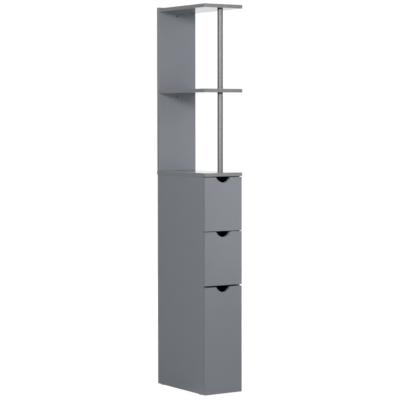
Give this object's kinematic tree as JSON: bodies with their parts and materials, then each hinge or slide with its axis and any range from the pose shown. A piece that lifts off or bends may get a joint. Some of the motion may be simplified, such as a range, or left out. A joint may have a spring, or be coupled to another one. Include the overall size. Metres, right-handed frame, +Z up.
{
  "type": "bathroom storage tower",
  "caption": "Narrow free-standing bathroom tower: closed cabinet with full-overlay drawers with finger cut-outs, upright back board and open shelves held at the front by a round pole.",
  "frame": {"origin": "middle of the footprint, on the floor", "axes": "+X to the right, +Y to the back (towards the wall), +Z up; the drawers face -Y"},
  "size_m": [0.15, 0.3, 1.3],
  "materials": {
    "laminate": "satin grey melamine laminate on chipboard",
    "hardboard": "grey painted face, matt",
    "satin_steel": "satin tube",
    "dark_plastic": "moulded, matt",
    "white_nylon": "extruded, smooth",
    "zinc_plate": "bright zinc plating",
    "beech": "raw, turned"
  },
  "bodies": {
    "root": {"left_side_panel": "laminate", "right_side_panel": "laminate", "base_panel": "laminate", "divider_panel": "laminate", "cabinet_top_panel": "laminate", "cabinet_back_panel": "hardboard", "upright_panel": "laminate", "middle_shelf": "laminate", "top_shelf": "laminate", "carcass_cam_locks": "zinc_plate", "carcass_cam_bolts": "zinc_plate", "carcass_dowels": "beech", "shelf_dowels": "beech", "shelf_screws": "zinc_plate", "foot_glides": "white_nylon", "lower_pole": "satin_steel", "upper_pole": "satin_steel", "pole_base_plugs": "dark_plastic", "pole_top_plugs": "dark_plastic", "pole_stud": "zinc_plate", "pole_screws": "zinc_plate", "top_drawer_runners": "white_nylon", "middle_drawer_runners": "white_nylon", "tall_drawer_runners": "white_nylon", "runner_screws": "zinc_plate"},
    "top_drawer": {"top_drawer_front": "laminate", "top_drawer_left_side": "laminate", "top_drawer_right_side": "laminate", "top_drawer_back": "laminate", "top_drawer_bottom": "hardboard", "top_drawer_cam_locks": "zinc_plate", "top_drawer_cam_bolts": "zinc_plate", "top_drawer_dowels": "beech", "top_drawer_screws": "zinc_plate"},
    "middle_drawer": {"middle_drawer_front": "laminate", "middle_drawer_left_side": "laminate", "middle_drawer_right_side": "laminate", "middle_drawer_back": "laminate", "middle_drawer_bottom": "hardboard", "middle_drawer_cam_locks": "zinc_plate", "middle_drawer_cam_bolts": "zinc_plate", "middle_drawer_dowels": "beech", "middle_drawer_screws": "zinc_plate"},
    "tall_drawer": {"tall_drawer_front": "laminate", "tall_drawer_left_side": "laminate", "tall_drawer_right_side": "laminate", "tall_drawer_back": "laminate", "tall_drawer_bottom": "hardboard", "tall_drawer_cam_locks": "zinc_plate", "tall_drawer_cam_bolts": "zinc_plate", "tall_drawer_dowels": "beech", "tall_drawer_screws": "zinc_plate"}
  },
  "joints": [
    {"name": "top_drawer_slide", "type": "slide", "parent": "root", "child": "top_drawer", "axis": [0, -1, 0], "range_m": [0, 0.2]},
    {"name": "middle_drawer_slide", "type": "slide", "parent": "root", "child": "middle_drawer", "axis": [0, -1, 0], "range_m": [0, 0.2]},
    {"name": "tall_drawer_slide", "type": "slide", "parent": "root", "child": "tall_drawer", "axis": [0, -1, 0], "range_m": [0, 0.2]}
  ]
}
